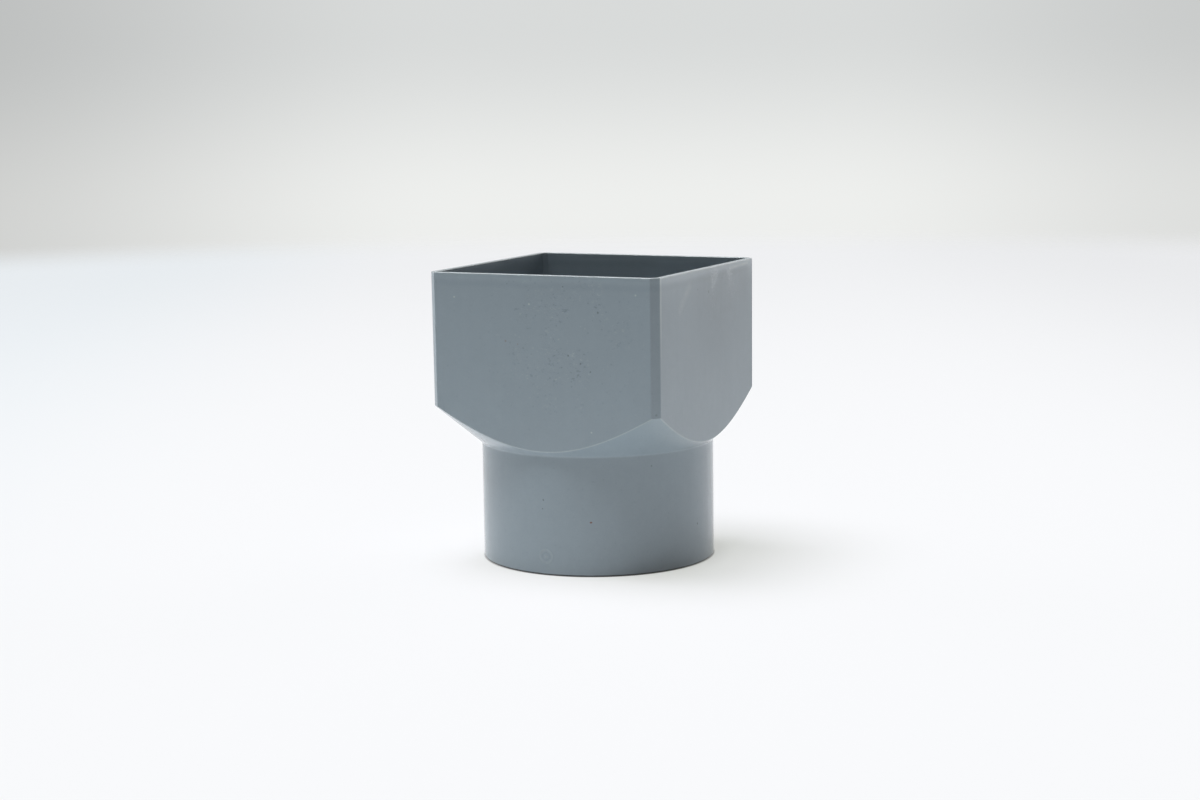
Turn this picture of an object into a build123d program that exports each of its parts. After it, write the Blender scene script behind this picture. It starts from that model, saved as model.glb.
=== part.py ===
from build123d import *
import os
from math import cos, radians, sin, sqrt, tan

# Downpipe reducer: one injection moulding in grey PVC that takes a square
# downpipe in the open socket at its top and pushes into a round pipe with the
# spigot at its foot.
# Millimetres. The origin is the centre of the spigot's foot, on the surface that
# the piece stands on, and +Z points up along the flow axis to the socket's rim.

# Mating pipes
square_pipe_side = 80.0  # outside width of the square downpipe in the socket
pipe_gap = 0.1  # clearance between that pipe and each wall, where it seats
spigot_diameter = 80.0  # outside of the round spigot

# Moulding
wall = 1.8  # thickness of every wall
total_height = 100.6  # foot to rim
spigot_length = 40.4  # foot to the start of the cone
cone_slope = 39.8  # degrees that the cone rises above the horizontal
corner_leg = 2.35  # leg of the chamfer down each upright corner of the socket
least_inner_leg = 0.3  # smallest chamfer left in the corners inside the socket
draft_angle = 0.17  # degrees that the socket's walls open towards the rim

# Edges
cone_foot_round = 1.2  # hollow round where the cone leaves the spigot
arris_round = 0.5  # outside edges of the socket below its rim: corners and lower curves
rim_round = 0.3  # both edges of the socket's rim
foot_leg = 0.4  # chamfer on both edges of the spigot's foot

# The socket's inside follows the pipe, and its outside lies one wall further out.
# A chamfer that lies one wall inside the outer one has a shorter leg.
inner_side = square_pipe_side + 2 * pipe_gap
outer_side = inner_side + 2 * wall
inner_leg = max(corner_leg - wall * (2 - sqrt(2)), least_inner_leg)

# The bore and the inner cone lie one wall inside the spigot and the outer cone,
# measured square to each of them.
slope = tan(radians(cone_slope))
spigot_radius = spigot_diameter / 2
bore_radius = spigot_radius - wall
inner_cone_foot = spigot_length + wall * (1 / cos(radians(cone_slope)) - slope)

# The blank is cut square above the round at the cone's foot. Where the spigot is the
# wider of the two, that leaves a shoulder one wall thick on top of it.
foot_tangent = cone_foot_round * tan(radians(90 - cone_slope) / 2)
square_foot = spigot_length + foot_tangent * sin(radians(cone_slope))

# The downpipe's corners come to rest on the inner cone at this height, where the
# drafted socket has its stated width.
seat_height = inner_cone_foot + ((inner_side - inner_leg) / sqrt(2) - bore_radius) * slope

# The turned blank is wide enough to clear the socket's corners at the rim.
draft_spread = total_height * tan(radians(draft_angle))
blank_radius = sqrt(2) * (max(outer_side, spigot_diameter) / 2 + draft_spread)


def turned_form(foot_radius, cone_foot, foot_fillet):
    """Revolve a spigot, a cone and the blank above them about the flow axis."""
    cone_top = cone_foot + (blank_radius - foot_radius) * slope
    blank_top = max(total_height, cone_top + wall)
    with BuildPart() as turned:
        with BuildSketch(Plane.XZ) as half_section:
            with BuildLine():
                Polyline(
                    (0, 0),
                    (foot_radius, 0),
                    (foot_radius, cone_foot),
                    (blank_radius, cone_top),
                    (blank_radius, blank_top),
                    (0, blank_top),
                    close=True,
                )
            make_face()
            cone_corner = half_section.vertices().sort_by_distance((foot_radius, cone_foot))[0]
            fillet(cone_corner, foot_fillet)
        revolve(axis=Axis.Z)
    return turned.part


def square_form(side, leg, prism_foot):
    """Stand the socket's drafted square prism on a drum that holds the spigot."""
    with BuildPart() as square:
        with BuildSketch(Plane.XY.offset(prism_foot)) as outline:
            Rectangle(side, side)
            chamfer(outline.vertices(), leg)
        extrude(amount=total_height - prism_foot)
        upright_walls = square.faces().filter_by(Axis.Z, reverse=True)
        draft(upright_walls, Plane.XY.offset(seat_height), -draft_angle)
        with BuildSketch(Plane.XY):
            Circle(blank_radius)
        extrude(amount=prism_foot)
    return square.part


turned_outside = turned_form(spigot_radius, spigot_length, cone_foot_round)
square_outside = square_form(outer_side, corner_leg, square_foot)
turned_inside = turned_form(bore_radius, inner_cone_foot, cone_foot_round + wall)
square_inside = square_form(inner_side, inner_leg, square_foot - wall)

# The waterway: socket, cone and bore in one run.
with BuildPart() as waterway:
    add(turned_inside)
    add(square_inside, mode=Mode.INTERSECT)

# The moulding: the turned blank cut square above the spigot, so that each flat
# runs out on the cone in a curve, and then hollowed. The socket's outside edges
# between the spigot and the rim are all rounded alike.
with BuildPart() as reducer_body:
    add(turned_outside)
    add(square_outside, mode=Mode.INTERSECT)
    socket_walls = reducer_body.faces().filter_by(GeomType.PLANE).filter_by(Axis.Z, reverse=True)
    between_foot_and_rim = (Axis.Z, square_foot, total_height, (False, False))
    arrises = socket_walls.edges().filter_by_position(*between_foot_and_rim)
    fillet(arrises, arris_round)
    add(waterway.part, mode=Mode.SUBTRACT)
    fillet(reducer_body.edges().group_by(Axis.Z)[-1], min(rim_round, wall / 3))
    chamfer(reducer_body.edges().group_by(Axis.Z)[0], min(foot_leg, wall / 3))

reducer_body.part.label = "reducer_body"

os.makedirs("parts", exist_ok=True)
export_step(reducer_body.part, "parts/reducer_body.step")
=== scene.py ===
"""A grey PVC downpipe reducer, dressed and lit as it stands in its studio photograph.

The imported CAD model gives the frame. The moulding is modelled again here with even, smooth
surfaces and gets its finish: satin PVC with fine specks, pits and the traces of its mould.
"""

import logging
from dataclasses import dataclass
from enum import Enum
from math import atan2, cos, hypot, pi, radians, sin, sqrt, tan
from typing import Any, Union

import bmesh
import bpy
from mathutils import Matrix, Vector


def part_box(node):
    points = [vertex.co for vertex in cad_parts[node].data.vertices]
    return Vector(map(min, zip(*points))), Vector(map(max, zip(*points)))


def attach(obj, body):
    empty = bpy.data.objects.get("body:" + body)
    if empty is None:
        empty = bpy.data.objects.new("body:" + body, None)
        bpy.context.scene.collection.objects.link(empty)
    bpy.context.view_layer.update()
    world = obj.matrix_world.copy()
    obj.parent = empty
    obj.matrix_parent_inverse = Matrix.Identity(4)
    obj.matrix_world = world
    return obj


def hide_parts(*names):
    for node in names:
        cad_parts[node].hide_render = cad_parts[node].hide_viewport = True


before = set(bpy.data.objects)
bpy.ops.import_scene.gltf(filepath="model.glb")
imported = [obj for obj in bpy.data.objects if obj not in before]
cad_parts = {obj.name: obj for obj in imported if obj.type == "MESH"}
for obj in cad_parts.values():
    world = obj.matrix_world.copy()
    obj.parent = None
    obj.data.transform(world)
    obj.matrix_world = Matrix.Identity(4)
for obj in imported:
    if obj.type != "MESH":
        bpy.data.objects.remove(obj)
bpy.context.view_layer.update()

LOG = logging.getLogger("downpipe_reducer")

MM = 0.001  # metres in a millimetre
NODE = "reducer_body"  # the CAD node that the moulding replaces
BODY = "root"

# The moulding's main sizes in millimetres, as the CAD model has them
SPIGOT_RADIUS = 40.0
SPIGOT_LENGTH = 40.4
CONE_SLOPE = 39.8  # degrees above the horizontal
CONE_RISE = tan(radians(CONE_SLOPE))
FLAT_DISTANCE = 41.95  # from the axis to a flat, about the middle of its height

# The millimetres within which points are one, and within which they are level
WELD = 1e-4
LEVEL = 1e-3

Socket = bpy.types.NodeSocket
Colour = tuple[float, float, float]
Place = tuple[float, float, float]
Span = tuple[float, float]
Number = Union["Value", float]
Triple = Union[Socket, Vector, tuple[float, float, float]]  # a place, a direction or a colour

# Colours of the finish
DARK: Colour = (0.075, 0.085, 0.10)
RUST: Colour = (0.20, 0.075, 0.045)
PALE: Colour = (0.50, 0.53, 0.52)
CREAM: Colour = (0.50, 0.44, 0.39)
# the colour of the painted shadow along the foot
FOOT_SHADOW: Colour = (0.035, 0.032, 0.030)


class Ray(Enum):
    """The kinds of ray that see the pale wall behind the floor."""

    CAMERA = "Is Camera Ray"
    GLOSSY = "Is Glossy Ray"
    TRANSMISSION = "Is Transmission Ray"


class Value:
    """A number that varies over a surface: the output socket of a shader node."""

    def __init__(self, graph: "Graph", socket: Socket) -> None:
        """Wrap a socket.

        Args:
            graph: The node tree that the socket belongs to.
            socket: The output that gives the number.
        """
        self.graph = graph
        self.socket = socket

    def _with(self, operation: str, first: Number, second: Number) -> "Value":
        """Add a Math node on two numbers."""
        return self.graph.value("ShaderNodeMath", {"operation": operation}, {0: first, 1: second})

    def __add__(self, other: Number) -> "Value":
        """Add a number."""
        return self._with("ADD", self, other)

    def __radd__(self, other: float) -> "Value":
        """Add to a number."""
        return self._with("ADD", other, self)

    def __sub__(self, other: Number) -> "Value":
        """Subtract a number."""
        return self._with("SUBTRACT", self, other)

    def __rsub__(self, other: float) -> "Value":
        """Subtract from a number."""
        return self._with("SUBTRACT", other, self)

    def __mul__(self, other: Number) -> "Value":
        """Multiply by a number."""
        return self._with("MULTIPLY", self, other)

    def __rmul__(self, other: float) -> "Value":
        """Multiply a number."""
        return self._with("MULTIPLY", other, self)

    def __truediv__(self, other: Number) -> "Value":
        """Divide by a number."""
        return self._with("DIVIDE", self, other)

    def __abs__(self) -> "Value":
        """Give the size without the sign."""
        return self.graph.value("ShaderNodeMath", {"operation": "ABSOLUTE"}, {0: self})

    def largest(self, other: Number) -> "Value":
        """Give the larger of this and another number."""
        return self._with("MAXIMUM", self, other)

    def smallest(self, other: Number) -> "Value":
        """Give the smaller of this and another number."""
        return self._with("MINIMUM", self, other)

    def rise(self, low: float, high: float) -> "Value":
        """Go smoothly from 0 at one number to 1 at another.

        Args:
            low: The number that gives 0.
            high: The number that gives 1. It may be the lower of the two.

        Returns:
            The smooth step, never outside 0 to 1.
        """
        settings = {"interpolation_type": "SMOOTHSTEP", "clamp": True}
        if low < high:
            sockets = {"Value": self, "From Min": low, "From Max": high, "To Min": 0.0, "To Max": 1.0}
        else:
            sockets = {"Value": self, "From Min": high, "From Max": low, "To Min": 1.0, "To Max": 0.0}
        return self.graph.value("ShaderNodeMapRange", settings, sockets, "Result")

    def band(self, centre: float, half_width: float) -> "Value":
        """Give 1 at one number, falling smoothly to 0 at a distance on either side."""
        return abs(self - centre).rise(half_width, 0.0)


class Graph:
    """The node tree of a material or of the world, with short ways to add to it."""

    def __init__(self, tree: bpy.types.NodeTree) -> None:
        """Empty a node tree and take it over.

        Args:
            tree: The tree of a material or a world.
        """
        self.tree = tree
        self.tree.nodes.clear()

    def node(self, kind: str, settings: dict[str, Any] | None = None,
             sockets: dict[Union[str, int], Any] | None = None) -> bpy.types.Node:
        """Add a node.

        Args:
            kind: The node's type.
            settings: Properties of the node.
            sockets: Numbers, colours, Values or output sockets for its inputs.

        Returns:
            The new node.
        """
        node = self.tree.nodes.new(kind)
        for name, setting in (settings or {}).items():
            setattr(node, name, setting)
        for key, source in (sockets or {}).items():
            if isinstance(source, Value):
                source = source.socket
            if isinstance(source, Socket):
                self.tree.links.new(source, node.inputs[key])
            else:
                node.inputs[key].default_value = source
        return node

    def value(self, kind: str, settings: dict[str, Any] | None = None,
              sockets: dict[Union[str, int], Any] | None = None, output: Union[str, int] = 0) -> Value:
        """Add a node and give one of its outputs as a number."""
        return Value(self, self.node(kind, settings, sockets).outputs[output])

    def coordinates(self, kind: str = "Object") -> Socket:
        """Give the place on the piece, or for the world the direction."""
        return self.node("ShaderNodeTexCoord").outputs[kind]

    def axes(self, vector: Socket) -> tuple[Value, Value, Value]:
        """Take a vector apart into its three numbers."""
        parts = self.node("ShaderNodeSeparateXYZ", None, {0: vector})
        return Value(self, parts.outputs[0]), Value(self, parts.outputs[1]), Value(self, parts.outputs[2])

    def noise(self, place: Socket, size: float, detail: float = 2.0,
              roughness: float = 0.5) -> Value:
        """Add a noise whose features are about one size across.

        Args:
            place: The coordinates that it is laid on, in metres.
            size: The features' size in metres.
            detail: How many finer layers it has.
            roughness: How strong the finer layers are.

        Returns:
            The noise, from -1 to 1 with a mean of about 0.
        """
        sockets = {"Vector": place, "Scale": 1 / size, "Detail": detail, "Roughness": roughness}
        return self.value("ShaderNodeTexNoise", {"noise_dimensions": "3D"}, sockets) * 2.0 - 1.0

    def vector(self, operation: str, first: Triple, second: Triple) -> Socket:
        """Add a Vector Math node on two places, directions or colours."""
        return self.node("ShaderNodeVectorMath", {"operation": operation}, {0: first, 1: second}).outputs[0]

    def stretched(self, place: Socket, scale: Place) -> Socket:
        """Scale coordinates by a factor along each axis, so that a pattern on them is drawn out."""
        return self.vector("MULTIPLY", place, scale)

    def distance(self, place: Triple, point: Triple) -> Value:
        """Measure how far one place is from another, in metres."""
        sockets = {0: place, 1: point}
        return self.value("ShaderNodeVectorMath", {"operation": "DISTANCE"}, sockets, "Value")

    def along(self, place: Triple, direction: Triple) -> Value:
        """Measure how far the place lies along a direction, or how much a direction faces another."""
        sockets = {0: place, 1: direction}
        return self.value("ShaderNodeVectorMath", {"operation": "DOT_PRODUCT"}, sockets, "Value")

    def tint(self, factor: Value, base: Triple, other: Triple) -> Socket:
        """Mix two colours.

        Args:
            factor: How much of the other colour there is. It is held between 0 and 1.
            base: The colour, or the socket that gives it, at 0.
            other: The colour, or the socket that gives it, at 1.

        Returns:
            The output that gives the mixed colour.
        """
        ends = [source if isinstance(source, Socket) else (*source, 1.0) for source in (base, other)]
        settings = {"data_type": "RGBA", "clamp_factor": True}
        return self.node("ShaderNodeMix", settings, {0: factor, 6: ends[0], 7: ends[1]}).outputs[2]

    def shade(self, colour: Triple, amount: Value) -> Socket:
        """Multiply a colour or a vector by a number."""
        sockets = {0: colour, "Scale": amount}
        return self.node("ShaderNodeVectorMath", {"operation": "SCALE"}, sockets).outputs[0]

    def blend(self, factor: Value, first: Socket, second: Socket) -> Socket:
        """Mix two shaders, with the first at 0 and the second at 1."""
        return self.node("ShaderNodeMixShader", None, {0: factor, 1: first, 2: second}).outputs[0]

    def rays(self) -> tuple[Value, Value]:
        """Tell the kinds of ray apart.

        Returns:
            1 for a camera ray, and 1 for any ray that shows the background: in view, in gloss
            or through something clear.
        """
        path = self.node("ShaderNodeLightPath")
        camera, glossy, clear = (Value(self, path.outputs[ray.value]) for ray in Ray)
        return camera, camera.largest(glossy).largest(clear)


def new_material(name: str) -> tuple[bpy.types.Material, Graph]:
    """Make a material with an empty node tree.

    Args:
        name: The material's name.

    Returns:
        The material, and the graph that adds to its tree.
    """
    material = bpy.data.materials.new(name)
    material.use_nodes = True
    return material, Graph(material.node_tree)


@dataclass(frozen=True)
class Viewpoint:
    """Where the photograph was taken from, and with what lens. Lengths are in metres."""

    place: Place = (0.33345, -0.68871, 0.16651)
    heading: float = 25.762  # degrees from +Y towards -X
    pitch: float = -8.398  # degrees above the horizon
    roll: float = -0.818  # degrees, anticlockwise as seen from behind the camera
    focal_length: float = 67.035  # millimetres
    sensor_width: float = 36.0  # millimetres
    nearest: float = 0.05  # what the camera still shows
    farthest: float = 20.0

    def build(self) -> bpy.types.Object:
        """Set the camera up and make it the scene's own.

        Returns:
            The camera.
        """
        lens = bpy.data.cameras.new("viewpoint")
        lens.lens = self.focal_length
        lens.sensor_width = self.sensor_width
        lens.clip_start = self.nearest
        lens.clip_end = self.farthest
        camera = bpy.data.objects.new("viewpoint", lens)
        turn = Matrix.Rotation(radians(self.heading), 4, "Z")
        tilt = Matrix.Rotation(radians(90 + self.pitch), 4, "X")
        lean = Matrix.Rotation(radians(self.roll), 4, "Z")
        camera.matrix_world = Matrix.Translation(self.place) @ turn @ tilt @ lean
        bpy.context.scene.collection.objects.link(camera)
        bpy.context.scene.camera = camera
        return camera


@dataclass(frozen=True)
class Glow:
    """A part of the room that lights the object: how bright it is about one direction."""

    name: str
    towards: Place
    edge: float  # the cosine of the angle from its middle at which it ends
    core: float  # the cosine of the angle within which it is full
    strength: float
    colour: Colour


@dataclass(frozen=True)
class Studio:
    """A white floor that ends in a pale wall, lit from above, by a window and by the walls.

    Lengths are in metres. A span is where something starts and where it is full.
    """

    floor_radius: float = 1.7
    floor_steps: int = 96
    floor_edge: Span = (1.25, 1.6)  # where the floor gives way to the wall
    rightwards: Place = (0.9003, 0.4352, 0.0)  # the picture's right, level with the ground
    frontwards: Place = (0.4352, -0.9003, 0.0)  # from the object towards the camera

    # The floor as it lights the object from below
    paper: Colour = (0.90, 0.90, 0.90)
    paper_ahead: float = 0.26  # how far the white paper goes to the front
    paper_aside: float = 0.20  # how far it goes to the right
    paper_edge: float = 0.10
    room_dimming: float = 0.92  # how much less light the room's own floor gives beyond it

    # The floor in view and in gloss
    shaded: Colour = (0.586, 0.600, 0.570)  # what it still shows in full shade
    shaded_left: Colour = (0.522, 0.568, 0.553)  # that tone far to the left
    lit: Colour = (0.278, 0.250, 0.275)  # what the light adds to that tone
    left_span: Span = (-0.14, -0.40)
    right_span: Span = (0.18, 0.46)
    right_dimming: float = 0.05
    far_span: Span = (0.1, 1.3)
    far_dimming: float = 0.09

    # Its shade round the foot: a thin line under the edge, the bore, and a soft patch to the right
    foot_line: Span = (0.0398, 0.0007)  # radius and half width
    foot_line_dimming: float = 0.60
    bore_span: Span = (0.0395, 0.0300)
    bore_dimming: float = 0.22
    patch_span: Span = (0.0480, 0.0400)
    patch_right_span: Span = (0.020, 0.045)
    patch_dimming: float = 0.10

    # The wall in view and in gloss. Its spans are shares of a direction of length 1.
    wall: Colour = (0.855, 0.865, 0.85)
    wall_top: Colour = (0.69, 0.705, 0.70)
    wall_top_span: Span = (-0.062, 0.02)
    wall_left_span: Span = (-0.06, -0.30)
    wall_left_dimming: float = 0.27
    wall_right_span: Span = (0.10, 0.28)
    wall_right_dimming: float = 0.15

    lights: tuple[Glow, ...] = (
        Glow("overhead", (-0.22, -0.07, 0.97), edge=0.89, core=0.99, strength=12.0, colour=(0.91, 1.0, 1.03)),
        Glow("window", (-0.95, 0.15, 0.13), edge=0.86, core=0.98, strength=1.4, colour=(0.97, 1.0, 1.04)),
        Glow("back wall", (0.50, 0.85, 0.03), edge=0.86, core=0.98, strength=2.4, colour=(1.0, 1.02, 1.03)),
        Glow("right wall", (0.97, 0.15, 0.0), edge=0.90, core=0.99, strength=0.8, colour=(1.0, 1.02, 1.04)),
    )

    def build(self) -> None:
        """Lay the floor and light the room round it."""
        self._floor()
        self._world()

    def _floor(self) -> bpy.types.Object:
        """Lay a white disc on the ground.

        Returns:
            The floor.
        """
        form = bmesh.new()
        bmesh.ops.create_circle(form, cap_ends=True, segments=self.floor_steps, radius=self.floor_radius)
        floor = new_piece("studio_floor", form, scale=1.0)
        floor.data.materials.append(self._floor_white())
        return floor

    def _floor_white(self) -> bpy.types.Material:
        """Make the floor's white, which fades away towards its edge and is clear from below.

        Returns:
            The material.
        """
        material, graph = new_material("studio_floor")
        place = graph.coordinates()
        away = graph.distance(place, (0.0, 0.0, 0.0))
        _, in_sight = graph.rays()
        white = graph.blend(in_sight, self._bounce(graph, place), self._in_view(graph, place, away))
        clear = graph.node("ShaderNodeBsdfTransparent").outputs[0]
        from_below = Value(graph, graph.node("ShaderNodeNewGeometry").outputs["Backfacing"])
        gone = away.rise(*self.floor_edge).largest(from_below)
        graph.node("ShaderNodeOutputMaterial", None, {"Surface": graph.blend(gone, white, clear)})
        return material

    def _bounce(self, graph: Graph, place: Socket) -> Socket:
        """Shade the floor as it lights the object: white paper, and the darker room beyond it.

        Args:
            graph: The floor's node tree.
            place: The coordinates on the floor.

        Returns:
            The shader's output.
        """
        past_right = graph.along(place, self.rightwards) - self.paper_aside
        past_front = graph.along(place, self.frontwards) - self.paper_ahead
        beyond = past_right.largest(past_front).rise(0.0, self.paper_edge)
        colour = graph.shade(self.paper, 1.0 - beyond * self.room_dimming)
        return graph.node("ShaderNodeBsdfDiffuse", None, {"Color": colour}).outputs[0]

    def _in_view(self, graph: Graph, place: Socket, away: Value) -> Socket:
        """Shade the floor as it is seen, with a part of its tone kept in full shade.

        Args:
            graph: The floor's node tree.
            place: The coordinates on the floor.
            away: The distance from the object's axis.

        Returns:
            The shader's output.
        """
        aside = graph.along(place, self.rightwards)
        level = 1.0 - away.rise(*self.far_span) * self.far_dimming
        level = level - aside.rise(*self.right_span) * self.right_dimming
        contact = away.band(*self.foot_line) * self.foot_line_dimming
        contact = contact + away.rise(*self.bore_span) * self.bore_dimming
        patch = away.rise(*self.patch_span) * aside.rise(*self.patch_right_span)
        contact = contact + patch * self.patch_dimming
        shaded = graph.tint(aside.rise(*self.left_span), self.shaded, self.shaded_left)
        own = {"Color": graph.shade(shaded, level * (1.0 - contact)), "Strength": 1.0}
        answer = {"Color": graph.shade(self.lit, level)}
        return graph.node("ShaderNodeAddShader", None, {
            0: graph.node("ShaderNodeBsdfDiffuse", None, answer).outputs[0],
            1: graph.node("ShaderNodeEmission", None, own).outputs[0],
        }).outputs[0]

    def _world(self) -> None:
        """Surround the object with the room's lights, and show a pale wall in view and in gloss."""
        world = bpy.data.worlds.new("studio")
        world.use_nodes = True
        bpy.context.scene.world = world
        graph = Graph(world.node_tree)
        direction = graph.coordinates("Generated")
        _, _, up = graph.axes(direction)
        aside = graph.along(direction, self.rightwards)
        level = 1.0 - aside.rise(*self.wall_left_span) * self.wall_left_dimming
        level = level - aside.rise(*self.wall_right_span) * self.wall_right_dimming
        in_view, in_sight = graph.rays()
        wall = graph.tint(up.rise(*self.wall_top_span), self.wall, self.wall_top)
        shown = graph.shade(wall, in_sight * level)
        for glow in self.lights:
            facing = graph.along(direction, Vector(glow.towards).normalized())
            amount = facing.rise(glow.edge, glow.core) * glow.strength * (1.0 - in_view)
            shown = graph.vector("ADD", shown, graph.shade(glow.colour, amount))
            LOG.info("light: %s", glow.name)
        background = graph.node("ShaderNodeBackground", None, {"Color": shown, "Strength": 1.0})
        graph.node("ShaderNodeOutputWorld", None, {"Surface": background.outputs[0]})


class Skin:
    """The moulding's surface as its finish sees it: where each place is, and noises laid on it."""

    def __init__(self, graph: Graph) -> None:
        """Read the coordinates, in metres, and lay the noises.

        Args:
            graph: The material's node tree.
        """
        self.graph = graph
        self.place = graph.coordinates()
        self.x, self.y, self.up = graph.axes(self.place)
        self.from_middle = abs(self.x).largest(abs(self.y))  # the way to a flat, square to it
        squares = self.x * self.x + self.y * self.y
        self.from_axis = graph.value("ShaderNodeMath", {"operation": "SQRT"}, {0: squares})
        drawn_out = graph.stretched(self.place, (1.0, 1.0, 0.12))
        self.cloud = graph.noise(self.place, size=0.022, detail=3.0)
        self.mottle = graph.noise(self.place, size=0.0035, detail=2.0)
        self.grain = graph.noise(self.place, size=0.0006, detail=1.0)
        self.flow = graph.noise(drawn_out, size=0.0030, detail=2.0)
        self.ragged = graph.noise(self.place, size=0.0007, detail=2.0)


@dataclass(frozen=True)
class Share:
    """How strongly each of the surface's noises shows in one of its properties."""

    cloud: float = 0.0
    mottle: float = 0.0
    grain: float = 0.0
    flow: float = 0.0

    def of(self, skin: Skin) -> Value:
        """Add the noises up, each by its share."""
        noises = (skin.cloud, skin.mottle, skin.grain, skin.flow)
        shares = (self.cloud, self.mottle, self.grain, self.flow)
        return sum(noise * share for noise, share in zip(noises, shares) if share)


@dataclass(frozen=True)
class WearAndPaintedLight:
    """A tint laid on the plastic, for marks and paler lines and for painted highlights and painted shadow:
    its colour, and how strongly it shows.
    """

    colour: Colour
    strength: float
    unevenness: float = 0.0  # how much the mottling varies it

    def lay(self, skin: Skin, colour: Socket, where: Value) -> Socket:
        """Tint a colour where a mask is above 0.

        Args:
            skin: The surface.
            colour: The colour so far.
            where: The mask.

        Returns:
            The tinted colour.
        """
        amount = where * self.strength
        if self.unevenness:
            amount = amount * (1.0 + skin.mottle * self.unevenness)
        return skin.graph.tint(amount, colour, self.colour)


@dataclass(frozen=True)
class Spot:
    """A small round mark in the surface of the plastic. Lengths are in millimetres."""

    place: Place
    radius: float
    colour: Colour
    strength: float = 0.6

    @classmethod
    def on_front(cls, across: float, z: float, radius: float, colour: Colour,
                 strength: float = 0.6) -> "Spot":
        """Place a spot on the flat that faces -Y."""
        return cls((across, -FLAT_DISTANCE, z), radius, colour, strength)

    @classmethod
    def on_spigot(cls, bearing: float, z: float, radius: float, colour: Colour,
                  strength: float = 0.6) -> "Spot":
        """Place a spot on the spigot, at a bearing in degrees from +X."""
        turn = radians(bearing)
        return cls((SPIGOT_RADIUS * cos(turn), SPIGOT_RADIUS * sin(turn), z), radius, colour, strength)


@dataclass(frozen=True)
class Streak:
    """A faint straight line of another tone on the surface, between two places. Lengths are in millimetres.
    """

    start: Place
    end: Place
    width: float
    wear: WearAndPaintedLight

    def where(self, skin: Skin) -> Value:
        """Find the line.

        Args:
            skin: The surface.

        Returns:
            1 along its middle line, falling to 0 at its sides and ends.
        """
        graph = skin.graph
        start, end = Vector(self.start) * MM, Vector(self.end) * MM
        direction = (end - start).normalized()
        offset = graph.vector("SUBTRACT", skin.place, start)
        on_line = graph.along(offset, direction).largest(0.0).smallest((end - start).length)
        nearest = graph.shade(direction, on_line)
        return graph.distance(offset, nearest).rise(self.width * MM / 2, 0.0)


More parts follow.
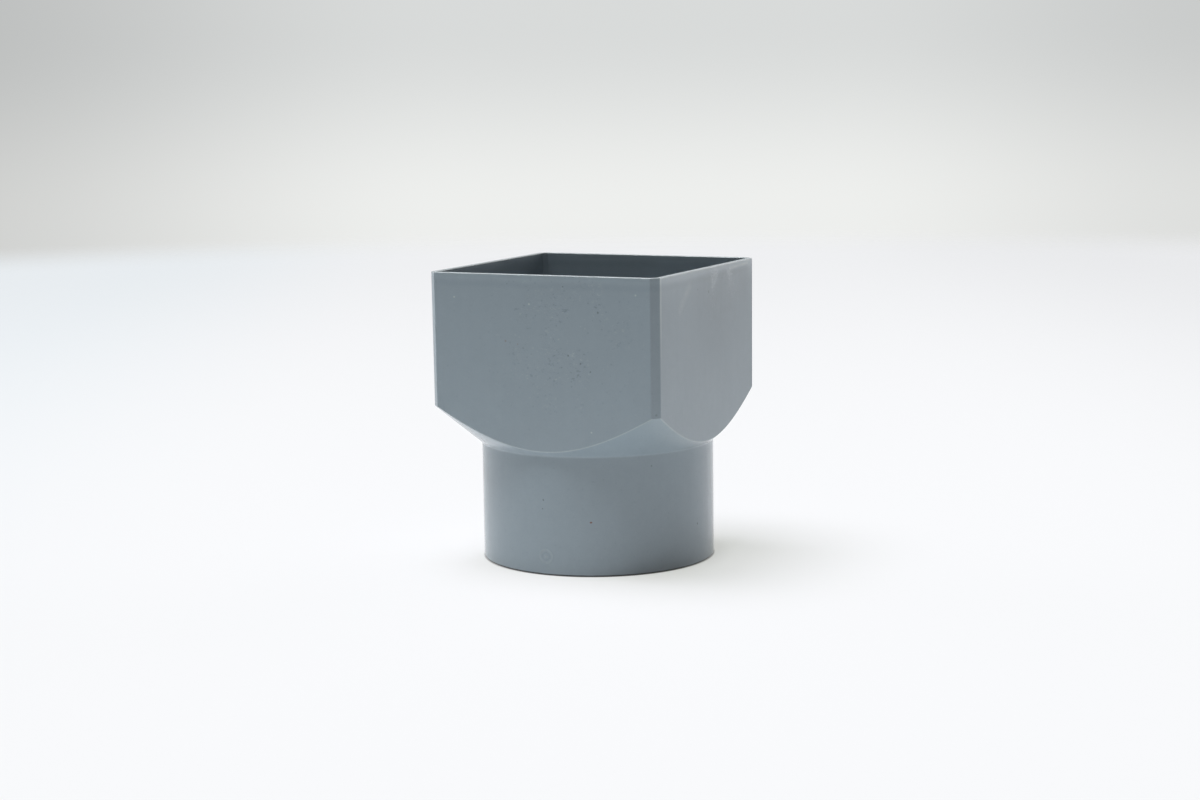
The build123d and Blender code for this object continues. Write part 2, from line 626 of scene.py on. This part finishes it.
@dataclass(frozen=True)
class PvcFinish:
    """Blue-grey unplasticised PVC, satin as moulded, with specks, paler lines, painted highlights and painted
    shade.

    Lengths are in metres, apart from those of the spots and streaks. A span is where
    something starts and where it is full, and a line is its middle and its half width.
    """

    colour: Colour = (0.273, 0.311, 0.344)
    roughness: float = 0.16
    refraction: float = 1.60
    tone_share: Share = Share(cloud=0.035, mottle=0.025, grain=0.03, flow=0.015)
    roughness_share: Share = Share(cloud=0.03, mottle=0.02, flow=0.02)
    relief_share: Share = Share(mottle=0.000006, grain=0.000001, flow=0.000003)
    pit_depth: float = 0.00002
    ragged_relief: float = 0.00005  # where the specks lie closest together

    # A lighter, rougher band just under the rim, the darker line of painted shade below it, painted shade at
    # the top of the +X side and painted shade on the inside
    under_rim_span: Span = (0.0978, 0.0990)
    under_rim_waver: float = 0.0012
    under_rim_tone: float = 0.04
    under_rim_roughness: float = 0.06
    rim_shade_line: Span = (0.0970, 0.0016)
    rim_shade_waver: float = 0.0010
    rim_shade: float = 0.04
    side_cluster: Place = (0.042, 0.010, 0.095)
    side_span: Span = (0.036, 0.008)
    side_shade: float = 0.11
    side_mottle: float = 0.08
    inside_shade: float = 0.21
    inside_flats_span: Span = (0.0408, 0.0404)  # this and the next lie within the wall
    inside_round_span: Span = (0.0394, 0.0388)
    inside_cone_foot: float = 0.0412

    # Specks and flecks, closest together on the front and under the rim of the side
    speck_cell: float = 0.0016  # about one speck in each such cube of the plastic
    speck_radius: float = 0.00042  # of the largest
    speck_waver: float = 0.00012
    speck_edge: Span = (0.00003, -0.00012)
    least_specks: float = 0.25
    other_specks: Place = (0.31, 0.17, 0.43)  # a shift that gives the pale ones other places
    dark_specks: float = 0.20
    pale_specks: float = 0.12
    front_cluster: Place = (0.008, -0.042, 0.080)
    front_span: Span = (0.034, 0.012)
    side_specks_span: Span = (0.022, 0.004)
    side_specks: float = 0.7
    patch_span: Span = (-0.16, 0.20)
    dark_fleck_span: Span = (0.18, 0.36)
    dark_flecks: float = 0.30
    pale_fleck_span: Span = (-0.20, -0.38)
    pale_flecks: float = 0.24

    # Painted highlights on the lower curves and the rim, painted shadow along the foot, a paler strip by a
    # corner, and the mould's mark
    curve_line: Span = (0.00002, 0.00042)  # above the cone
    curve_flat_span: Span = (0.04145, 0.04180)  # only near a flat
    # a painted highlight along the lower curves, where the flats meet the cone
    curve_painted_highlight: WearAndPaintedLight = WearAndPaintedLight(PALE, 0.30, unevenness=0.5)
    rim_span: Span = (0.1001, 0.1004)
    rim_waver: float = 0.00005
    # a painted highlight on the top of the rim
    rim_painted_highlight: WearAndPaintedLight = WearAndPaintedLight(CREAM, 0.22)
    foot_span: Span = (0.00075, 0.00045)
    foot_waver: float = 0.00010
    # a painted shadow along the foot, where it meets the floor
    foot_painted_shadow: WearAndPaintedLight = WearAndPaintedLight(FOOT_SHADOW, 0.85)
    corner_line: Span = (-0.0391, 0.0010)
    corner_flat_span: Span = (0.0412, 0.0416)
    corner_height_span: Span = (0.066, 0.090)
    corner_waver: float = 0.004
    # a paler strip on the side beside its front corner
    corner_pale_strip: WearAndPaintedLight = WearAndPaintedLight(PALE, 0.40, unevenness=0.4)
    mould_mark: Place = (-0.0004, -0.0400, 0.0064)  # the middle of the mould's own mark
    mark_waver: float = 0.0003
    # The mark's pale ring and pale core are painted highlight on its raised rings, and its darker groove is
    # painted shade between them
    mark_rim_line: Span = (0.0023, 0.0007)
    mark_rim: WearAndPaintedLight = WearAndPaintedLight(PALE, 0.12)
    mark_core_span: Span = (0.0009, 0.0002)
    mark_core: WearAndPaintedLight = WearAndPaintedLight(PALE, 0.15)
    mark_groove_line: Span = (0.0013, 0.0004)
    mark_groove: WearAndPaintedLight = WearAndPaintedLight(DARK, 0.10)

    spot_waver: float = 0.00030
    spot_core: float = 0.30  # the part of a spot's radius within which it is full
    spots: tuple[Spot, ...] = (
        Spot.on_front(21, 89, 0.50, DARK),
        Spot.on_front(10, 74.5, 0.45, DARK),
        Spot.on_front(14.5, 72, 0.45, DARK),
        Spot.on_front(18, 69.5, 0.35, DARK),
        Spot.on_front(-12, 97.5, 0.35, DARK),
        Spot.on_front(8.5, 97, 0.35, DARK),
        Spot.on_front(-13, 78.5, 0.55, RUST, 0.35),
        Spot.on_front(-8.5, 77.5, 0.45, RUST, 0.25),
        Spot.on_front(-32, 92.5, 0.45, PALE),
        Spot.on_front(-4, 91, 0.45, PALE),
        Spot.on_front(34.5, 95, 0.45, PALE),
        Spot.on_front(18, 49.5, 0.50, PALE),
        Spot.on_spigot(-68, 18.5, 0.50, RUST, 0.85),
        Spot.on_spigot(-91.5, 25.5, 0.45, DARK),
        Spot.on_spigot(-92, 22.5, 0.35, DARK),
        Spot.on_spigot(-38, 36.5, 0.40, DARK, 0.4),
        Spot.on_spigot(-7.5, 14, 0.45, DARK),
        Spot.on_spigot(19, 16, 0.45, DARK),
        Spot((40.5, -40.5, 56.3), 0.60, DARK, 0.5),
        Spot((41.97, 0.3, 92.4), 0.55, DARK, 0.4),
        Spot((41.97, -9.0, 94.0), 0.45, DARK, 0.3),
        Spot((41.97, 12.0, 96.0), 0.45, DARK, 0.3),
    )
    streaks: tuple[Streak, ...] = (
        Streak((41.98, -16.0, 95.5), (41.96, -24.0, 88.5), width=5.0, wear=WearAndPaintedLight(PALE, 0.10, 0.6)),
        Streak((41.98, 19.0, 98.7), (41.98, 35.0, 99.3), width=2.0, wear=WearAndPaintedLight(PALE, 0.22, 0.6)),
    )

    def build(self) -> bpy.types.Material:
        """Make the material.

        Returns:
            The material, with its pattern on Object coordinates.
        """
        material, graph = new_material("grey_pvc")
        skin = Skin(graph)
        under_rim_band = (skin.up + skin.cloud * self.under_rim_waver).rise(*self.under_rim_span)
        crowding = self._crowding(skin)
        patches = graph.noise(graph.stretched(skin.place, (1.0, 1.0, 0.6)), size=0.008, detail=1.0)
        patchy = crowding * patches.rise(*self.patch_span)
        dark, pits = self._specks(skin, crowding, (0.0, 0.0, 0.0))
        pale, _ = self._specks(skin, crowding, self.other_specks)
        fleck = self._flecks(skin)
        dark = dark * self.dark_specks + fleck.rise(*self.dark_fleck_span) * patchy * self.dark_flecks
        pale = pale * self.pale_specks + fleck.rise(*self.pale_fleck_span) * patchy * self.pale_flecks
        colour = graph.shade(self.colour, self._tone(skin, under_rim_band))
        colour = graph.tint(dark, colour, DARK)
        colour = graph.tint(pale, colour, PALE)
        colour = self._wear_and_painted_light(skin, colour)
        height = self.relief_share.of(skin) - pits * self.pit_depth
        height = height + skin.ragged * patchy * self.ragged_relief
        bump = graph.node("ShaderNodeBump", None, {"Strength": 1.0, "Distance": 1.0, "Height": height})
        roughness = self.roughness + self.roughness_share.of(skin) + under_rim_band * self.under_rim_roughness
        shader = graph.node("ShaderNodeBsdfPrincipled", None, {
            "Base Color": self._spotted(skin, colour),
            "Roughness": roughness,
            "IOR": self.refraction,
            "Normal": bump.outputs[0],
        })
        graph.node("ShaderNodeOutputMaterial", None, {"Surface": shader.outputs[0]})
        return material

    def _tone(self, skin: Skin, under_rim_band: Value) -> Value:
        """Work out how light the plastic is, with the painted shade at the top of the +X side and on the
        inside.

        Args:
            skin: The surface.
            under_rim_band: 1 in the lighter, rougher band just under the rim.

        Returns:
            What the colour is multiplied by.
        """
        rim_shade = (skin.up + skin.cloud * self.rim_shade_waver).band(*self.rim_shade_line)
        # painted shade at the top of the +X side, about the cluster of specks
        side = skin.graph.distance(skin.place, self.side_cluster).rise(*self.side_span)
        level = 1.0 + self.tone_share.of(skin) + under_rim_band * self.under_rim_tone - rim_shade * self.rim_shade
        level = level - side * (self.side_shade + skin.mottle * self.side_mottle)
        # painted shade on the inside of the moulding
        return level * (1.0 - self._inside(skin) * self.inside_shade)

    def _inside(self, skin: Skin) -> Value:
        """Tell the inside of the moulding from its outside, by the middle of its wall.

        Args:
            skin: The surface.

        Returns:
            1 on the inside and 0 on the outside.
        """
        cone = (skin.up - self.inside_cone_foot).largest(0.0) / CONE_RISE
        in_round = (skin.from_axis - cone).rise(*self.inside_round_span)
        return skin.from_middle.rise(*self.inside_flats_span) * in_round

    def _crowding(self, skin: Skin) -> Value:
        """Give 1 where the specks lie closest together, falling to 0 away from there."""
        front = skin.graph.distance(skin.place, self.front_cluster).rise(*self.front_span)
        side = skin.graph.distance(skin.place, self.side_cluster).rise(*self.side_specks_span)
        return front.largest(side * self.side_specks)

    def _specks(self, skin: Skin, crowding: Value, shift: Place) -> tuple[Value, Value]:
        """Scatter specks through the plastic.

        Args:
            skin: The surface.
            crowding: 1 where they show most.
            shift: What the coordinates are moved by, for other specks of the same kind.

        Returns:
            The specks as they show, and all of them alike.
        """
        graph = skin.graph
        moved = graph.vector("ADD", skin.place, shift)
        cells = graph.node("ShaderNodeTexVoronoi", None, {"Vector": moved, "Scale": 1 / self.speck_cell})
        waver = graph.noise(skin.place, size=0.0005) * self.speck_waver
        away = Value(graph, cells.outputs["Distance"]) * self.speck_cell + waver
        size, _, _ = graph.axes(cells.outputs["Color"])
        alike = (away - size * size * self.speck_radius).rise(*self.speck_edge)
        return alike * (crowding * (1 - self.least_specks) + self.least_specks), alike

    def _flecks(self, skin: Skin) -> Value:
        """Lay the noise whose highest parts are dark flecks and whose lowest parts are pale ones."""
        squashed = skin.graph.stretched(skin.place, (1.0, 1.0, 1.4))
        return skin.graph.noise(squashed, size=0.0018, detail=3.0, roughness=0.7)

    def _wear_and_painted_light(self, skin: Skin, colour: Socket) -> Socket:
        """Lay the paler lines and strip, the painted highlights on the lower curves and the rim, the painted
        shadow along the foot, and painted highlight and shade on the mould's mark.

        Args:
            skin: The surface.
            colour: The colour so far.

        Returns:
            The colour with these tints.
        """
        for streak in self.streaks:
            colour = streak.wear.lay(skin, colour, streak.where(skin))
        above_cone = skin.up - SPIGOT_LENGTH * MM - (skin.from_axis - SPIGOT_RADIUS * MM) * CONE_RISE
        curves = above_cone.band(*self.curve_line) * skin.from_middle.rise(*self.curve_flat_span)
        corner = skin.y.band(*self.corner_line) * skin.x.rise(*self.corner_flat_span)
        corner = corner * (skin.up + skin.cloud * self.corner_waver).rise(*self.corner_height_span)
        from_mark = skin.graph.distance(skin.place, self.mould_mark) + skin.mottle * self.mark_waver
        # painted highlights on the curves and the rim, painted shadow along the foot, a paler strip by the
        # corner, and painted highlight and shade on the mould's mark
        for wear, where in (
            (self.curve_painted_highlight, curves),
            (self.rim_painted_highlight, (skin.up + skin.mottle * self.rim_waver).rise(*self.rim_span)),
            (self.foot_painted_shadow, (skin.up + skin.mottle * self.foot_waver).rise(*self.foot_span)),
            (self.corner_pale_strip, corner),
            (self.mark_rim, from_mark.band(*self.mark_rim_line)),
            (self.mark_core, from_mark.rise(*self.mark_core_span)),
            (self.mark_groove, from_mark.band(*self.mark_groove_line)),
        ):
            colour = wear.lay(skin, colour, where)
        return colour

    def _spotted(self, skin: Skin, colour: Socket) -> Socket:
        """Add the larger spots, one by one.

        Args:
            skin: The surface.
            colour: The colour so far.

        Returns:
            The colour with its spots.
        """
        for spot in self.spots:
            middle = Vector(spot.place) * MM
            away = skin.graph.distance(skin.place, middle) + skin.ragged * self.spot_waver
            mark = away.rise(spot.radius * MM, spot.radius * self.spot_core * MM)
            colour = skin.graph.tint(mark * spot.strength, colour, spot.colour)
        return colour


def new_piece(name: str, form: bmesh.types.BMesh, scale: float = MM) -> bpy.types.Object:
    """Turn a finished form into an object at the origin.

    Args:
        name: The object's name.
        form: The form, which is freed.
        scale: Metres in one of the form's units.

    Returns:
        The new object, linked to the scene.
    """
    bmesh.ops.transform(form, matrix=Matrix.Scale(scale, 4), verts=form.verts)
    mesh = bpy.data.meshes.new(name)
    form.to_mesh(mesh)
    form.free()
    piece = bpy.data.objects.new(name, mesh)
    bpy.context.scene.collection.objects.link(piece)
    return piece


@dataclass(frozen=True)
class Ring:
    """A low round ridge about the middle of a mark. Lengths are in millimetres."""

    radius: float
    width: float
    rise: float

    def relief(self, distance: float) -> float:
        """Give how far the ridge stands out at a distance from the mark's middle."""
        across = abs(distance - self.radius) / (self.width / 2)
        return self.rise * (1 + cos(pi * across)) / 2 if across < 1 else 0.0


@dataclass(frozen=True)
class MouldMark:
    """The plain round mark that the mould leaves low on the spigot. Lengths are in millimetres."""

    bearing: float = -90.6  # degrees round the axis from +X
    height: float = 6.4  # of its middle above the foot
    reach: float = 4.0  # half the side of the patch that it is modelled on
    row: float = 1.0  # height of the patch's rows before they are divided
    divisions: int = 11
    still_edge: float = 0.01  # of the patch, which keeps its place
    off_wall: float = 0.2  # how far from the cylinder a face of its wall may be
    off_level: float = 0.3  # how far its normal may point up or down
    rings: tuple[Ring, ...] = (
        Ring(radius=2.5, width=1.0, rise=0.11),
        Ring(radius=0.0, width=1.8, rise=0.11),
    )

    def press(self, form: bmesh.types.BMesh, radius: float) -> None:
        """Raise the rings from a cylinder about the Z axis.

        Args:
            form: The form to change, with the cylinder's wall in one row of tall faces.
            radius: The cylinder's radius.
        """
        guard = self.row / 3
        low, high = self.height - self.reach, self.height + self.reach
        for z in (low - guard, high + guard):
            self._level_cut(form, form.faces[:], z)
        rows = round((high - low) / self.row)
        for index in range(rows + 1):
            tall = self._wall(form, radius, low - guard, high + guard)
            self._level_cut(form, tall, low + index * self.row)
        patch = self._wall(form, radius, low, high)
        edges = list({edge for face in patch for edge in face.edges})
        bmesh.ops.subdivide_edges(form, edges=edges, cuts=self.divisions, use_grid_fill=True)
        for point in {p for face in self._wall(form, radius, low, high) for p in face.verts}:
            around, up = self._offset(point.co, radius)
            if max(abs(around), abs(up)) < self.reach - self.still_edge:
                proud = sum(ring.relief(hypot(around, up)) for ring in self.rings)
                flat = Vector((point.co.x, point.co.y, 0.0)).normalized() * (radius + proud)
                point.co = flat + Vector((0.0, 0.0, point.co.z))

    def _offset(self, place: Vector, radius: float) -> tuple[float, float]:
        """Give how far a place on the wall lies from the mark's middle, round and up."""
        turned = Matrix.Rotation(-radians(self.bearing), 3, "Z") @ place
        return radius * atan2(turned.y, turned.x), place.z - self.height

    def _wall(self, form: bmesh.types.BMesh, radius: float, low: float,
              high: float) -> list[bmesh.types.BMFace]:
        """Find the cylinder's outer faces near the mark between two heights."""
        found = []
        for face in form.faces:
            middle = face.calc_center_median()
            around, _ = self._offset(middle, radius)
            on_wall = abs(hypot(middle.x, middle.y) - radius) < self.off_wall
            upright = abs(face.normal.z) < self.off_level
            if on_wall and upright and abs(around) < self.reach and low < middle.z < high:
                found.append(face)
        return found

    def _level_cut(self, form: bmesh.types.BMesh, faces: list[bmesh.types.BMFace], z: float) -> None:
        """Divide faces at a height."""
        edges = list({edge for face in faces for edge in face.edges})
        points = list({point for face in faces for point in face.verts})
        bmesh.ops.bisect_plane(
            form, geom=points + edges + faces, dist=WELD, plane_co=(0, 0, z), plane_no=(0, 0, 1),
        )


@dataclass
class ReducerMoulding:
    """The one moulding: an open square socket, a cone and a round spigot in an even wall.

    Lengths are in millimetres. Z is up from the foot that it stands on.
    """

    height: float
    rim_half_width: float  # from the axis to a flat, at the rim
    spigot_radius: float = SPIGOT_RADIUS
    spigot_length: float = SPIGOT_LENGTH
    wall: float = 1.8
    cone_slope: float = CONE_SLOPE
    corner_leg: float = 2.35  # of the chamfer on each upright corner
    draft: float = 0.17  # degrees that the socket opens towards its rim
    cone_foot_round: float = 1.2
    arris_round: float = 0.5
    inner_round: float = 0.3
    rim_round: float = 0.3
    foot_leg: float = 0.4
    turns: int = 180  # steps round the axis: no step line meets a socket corner
    hollow_steps: int = 8
    round_steps: int = 3
    rounding_gap: float = 0.002  # points that a rounding leaves this close become one
    rim_clearance: float = 0.01  # an edge that lies no lower than this is the rim's own
    arris_turn: float = 50.0  # degrees, about what the edges to round turn by
    least_arris: float = 30.0  # degrees, the least that one of them turns by
    least_ring: float = 45.0  # degrees, the least that the rim's and the foot's edges turn by
    least_sharp: float = 32.0  # degrees, the least that an edge shaded as sharp turns by
    mark: MouldMark = MouldMark()

    @classmethod
    def from_frame(cls, node: str) -> "ReducerMoulding":
        """Take the overall sizes from a CAD node.

        Args:
            node: The node's name.

        Returns:
            The moulding at the node's height and width.
        """
        _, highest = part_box(node)
        return cls(height=highest.z / MM, rim_half_width=highest.x / MM)

    def build(self, material: bpy.types.Material) -> bpy.types.Object:
        """Model the moulding and dress it.

        Args:
            material: Its finish.

        Returns:
            The finished piece, in the CAD node's place.
        """
        form = self._shell()
        piece = new_piece("reducer_moulding", form)
        mesh = piece.data
        mesh.materials.append(material)
        mesh.shade_smooth()
        mesh.set_sharp_from_angle(angle=radians(self.least_sharp))
        weighted = piece.modifiers.new("even_shading", "WEIGHTED_NORMAL")
        weighted.keep_sharp = True
        weighted.weight = 100
        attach(piece, BODY)
        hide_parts(NODE)
        return piece

    def _flat_distance(self, z: float) -> float:
        """Give the distance of the outer flats from the axis at a height."""
        return self.rim_half_width - (self.height - self.rim_round - z) * tan(radians(self.draft))

    def _turned(self, inset: float) -> bmesh.types.BMesh:
        """Turn the spigot, the cone and a blank above them.

        Args:
            inset: How far the form lies inside the moulding's outside, square to it.

        Returns:
            A closed form.
        """
        slope = tan(radians(self.cone_slope))
        radius = self.spigot_radius - inset
        cone_foot = self.spigot_length + inset * (1 / cos(radians(self.cone_slope)) - slope)
        blank_radius = sqrt(2) * self.rim_half_width
        cone_top = cone_foot + (blank_radius - radius) * slope
        profile = ((radius, 0.0), (radius, cone_foot), (blank_radius, cone_top), (blank_radius, self.height))
        form = bmesh.new()
        points = [form.verts.new((r, 0.0, z)) for r, z in profile]
        lines = [form.edges.new(pair) for pair in zip(points, points[1:])]
        bmesh.ops.spin(
            form, geom=points + lines, cent=(0, 0, 0), axis=(0, 0, 1), angle=2 * pi,
            steps=self.turns, use_merge=True, use_duplicate=False,
        )
        bmesh.ops.remove_doubles(form, verts=form.verts, dist=WELD)
        bmesh.ops.holes_fill(form, edges=[e for e in form.edges if e.is_boundary], sides=0)
        bmesh.ops.recalc_face_normals(form, faces=form.faces)
        turn = radians(90 - self.cone_slope) / 2
        hollow = (self.cone_foot_round + inset) * tan(turn)
        self._round(form, rings_at(form, cone_foot), hollow, segments=self.hollow_steps)
        return form

    def _round(self, form: bmesh.types.BMesh, edges: list[bmesh.types.BMEdge], offset: float,
               segments: int) -> None:
        """Bevel edges into an arc, or with one segment into a chamfer."""
        bmesh.ops.bevel(
            form, geom=edges, offset=offset, offset_type="OFFSET", segments=segments, profile=0.5,
            affect="EDGES", clamp_overlap=False, material=-1,
        )

    def _cut_square(self, form: bmesh.types.BMesh, inset: float) -> None:
        """Cut the socket's four flats and four corner chamfers from a turned form.

        Args:
            form: The turned form.
            inset: How far it lies inside the moulding's outside.
        """
        lean = radians(self.draft)
        middle = self.height / 2
        flat = self._flat_distance(middle)
        corner = (2 * flat - self.corner_leg) / sqrt(2)
        for eighth in range(8):
            bearing = eighth * pi / 4
            distance = (corner if eighth % 2 else flat) - inset
            outwards = Vector((cos(bearing), sin(bearing), 0.0))
            cut = bmesh.ops.bisect_plane(
                form, geom=form.verts[:] + form.edges[:] + form.faces[:], dist=WELD,
                plane_co=outwards * distance + Vector((0, 0, middle)),
                plane_no=outwards * cos(lean) - Vector((0, 0, sin(lean))),
                clear_outer=True,
            )
            rim = [item for item in cut["geom_cut"] if isinstance(item, bmesh.types.BMEdge)]
            bmesh.ops.contextual_create(form, geom=rim)

    def _form(self, inset: float, edge_round: float) -> bmesh.types.BMesh:
        """Make one whole surface of the moulding as a closed form.

        Args:
            inset: 0 for the outside, or the wall for the inside.
            edge_round: The radius on the socket's corners and lower curves.

        Returns:
            The form, with its foot and its top still closed.
        """
        form = self._turned(inset)
        self._cut_square(form, inset)
        bmesh.ops.recalc_face_normals(form, faces=form.faces)
        arrises = [edge for edge in form.edges if self._is_arris(edge)]
        offset = edge_round * tan(radians(self.arris_turn) / 2)
        self._round(form, arrises, offset, segments=self.round_steps)
        bmesh.ops.remove_doubles(form, verts=form.verts, dist=self.rounding_gap)
        return form

    def _is_arris(self, edge: bmesh.types.BMEdge) -> bool:
        """Say whether an edge is an upright corner or a lower curve of the socket."""
        below_rim = any(point.co.z < self.height - self.rim_clearance for point in edge.verts)
        cone_start = self.spigot_length + self.cone_foot_round
        above_foot = all(point.co.z > cone_start for point in edge.verts)
        return below_rim and above_foot and edge.calc_face_angle(0.0) > radians(self.least_arris)

    def _hard_ring(self, form: bmesh.types.BMesh, z: float) -> list[bmesh.types.BMEdge]:
        """Find the level edges at a height that turn from a wall to an end."""
        return [e for e in rings_at(form, z) if e.calc_face_angle(0.0) > radians(self.least_ring)]

    def _shell(self) -> bmesh.types.BMesh:
        """Join the outside and the inside at the rim and the foot.

        Returns:
            The closed shell.
        """
        form = self._form(0.0, self.arris_round)
        inside = self._form(self.wall, self.inner_round)
        bmesh.ops.reverse_faces(inside, faces=inside.faces)
        hand_over = bpy.data.meshes.new("inside")
        inside.to_mesh(hand_over)
        inside.free()
        form.from_mesh(hand_over)
        bpy.data.meshes.remove(hand_over)
        for z in (0.0, self.height):
            caps = [face for face in form.faces if all(abs(p.co.z - z) < LEVEL for p in face.verts)]
            bmesh.ops.delete(form, geom=caps, context="FACES_ONLY")
            bmesh.ops.bridge_loops(form, edges=[e for e in rings_at(form, z) if e.is_boundary])
        bmesh.ops.recalc_face_normals(form, faces=form.faces)
        self._round(form, self._hard_ring(form, 0.0), self.foot_leg, segments=1)
        self._round(form, self._hard_ring(form, self.height), self.rim_round, segments=self.round_steps)
        self.mark.press(form, self.spigot_radius)
        return form


def rings_at(form: bmesh.types.BMesh, z: float) -> list[bmesh.types.BMEdge]:
    """Find the edges that lie level at a height.

    Args:
        form: The form to look in.
        z: The height in the form's units.

    Returns:
        Its level edges there.
    """
    return [e for e in form.edges if all(abs(point.co.z - z) < LEVEL for point in e.verts)]


def main() -> None:
    """Build the view, the studio and the moulding in order."""
    logging.basicConfig(level=logging.INFO, format="%(name)s: %(message)s")
    bpy.context.scene.view_settings.view_transform = "Standard"
    Viewpoint().build()
    Studio().build()
    moulding = ReducerMoulding.from_frame(NODE)
    piece = moulding.build(PvcFinish().build())
    LOG.info("%s: %d faces", piece.name, len(piece.data.polygons))


if __name__ == "__main__":
    main()
